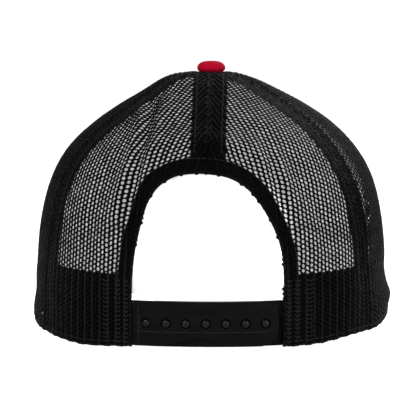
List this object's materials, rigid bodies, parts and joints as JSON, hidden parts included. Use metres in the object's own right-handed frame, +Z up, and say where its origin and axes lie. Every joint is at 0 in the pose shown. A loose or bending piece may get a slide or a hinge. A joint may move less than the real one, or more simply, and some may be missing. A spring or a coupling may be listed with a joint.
{
  "type": "trucker mesh cap",
  "caption": "Six-panel cap with stiffened cloth front, open mesh sides and back, curved stitched visor, covered top button and a two-part plastic snap strap across an arched rear opening.",
  "frame": {"origin": "on the plane of the crown's rear lower edge, straight below the top button", "axes": "+Z up through the button; the visor points along -Y and the rear opening faces +Y; +X is the wearer's left"},
  "size_m": [0.182, 0.2598, 0.1425],
  "materials": {
    "knit_mesh": "open polyester knit, matt",
    "front_cloth": "tight plain weave, matt",
    "buckram": "stiff open-weave lining, matt",
    "seam_tape": "woven tape, matt",
    "light_tape": "woven tape, matt",
    "binding": "folded woven tape, matt",
    "band_dark": "brushed cotton, matt",
    "band_light": "brushed cotton, matt",
    "foam": "thin soft foam backing, matt",
    "visor_cloth": "tight plain weave, matt",
    "visor_board": "moulded sheet, matt",
    "thread_red": "twisted thread, slight sheen",
    "thread_black": "twisted thread, slight sheen",
    "button_cloth": "tight plain weave stretched over a shell",
    "button_metal": "stamped, dull",
    "strap_plastic": "moulded, satin"
  },
  "bodies": {
    "crown": {"rear_mesh_panel_left": "knit_mesh", "side_mesh_panel_left": "knit_mesh", "front_panel_left": "front_cloth", "front_stiffener_left": "buckram", "rear_side_seam_tape_left": "seam_tape", "front_side_seam_tape_left": "light_tape", "sweatband_left": "band_dark", "strap_tack_stitching_left": "thread_black", "rear_mesh_panel_right": "knit_mesh", "side_mesh_panel_right": "knit_mesh", "front_panel_right": "front_cloth", "front_stiffener_right": "buckram", "rear_side_seam_tape_right": "seam_tape", "front_side_seam_tape_right": "light_tape", "sweatband_right": "band_dark", "strap_tack_stitching_right": "thread_black", "centre_seam_tape_rear": "seam_tape", "centre_seam_tape_front": "light_tape", "rear_opening_binding": "binding", "sweatband_front": "band_light", "brow_pad": "foam", "visor_top_cover": "visor_cloth", "visor_board": "visor_board", "visor_under_cover": "visor_cloth", "visor_stitching": "thread_red", "button_cover": "button_cloth", "button_shell": "button_metal", "button_washer": "button_metal", "outer_strap_tab": "strap_plastic", "inner_strap_tab": "strap_plastic", "seam_topstitching": "thread_black"},
    "outer_strap": {"outer_strap": "strap_plastic"},
    "inner_strap": {"inner_strap": "strap_plastic"}
  },
  "joints": [
    {"name": "outer_strap_swing", "type": "hinge", "parent": "crown", "child": "outer_strap", "pos_m": [0.0344, 0.08617, 0.01105], "axis": [0, 0, -1], "range_deg": [0, 90]},
    {"name": "inner_strap_swing", "type": "hinge", "parent": "crown", "child": "inner_strap", "pos_m": [-0.0344, 0.08456, 0.01105], "axis": [0, 0, -1], "range_deg": [0, 60]}
  ]
}
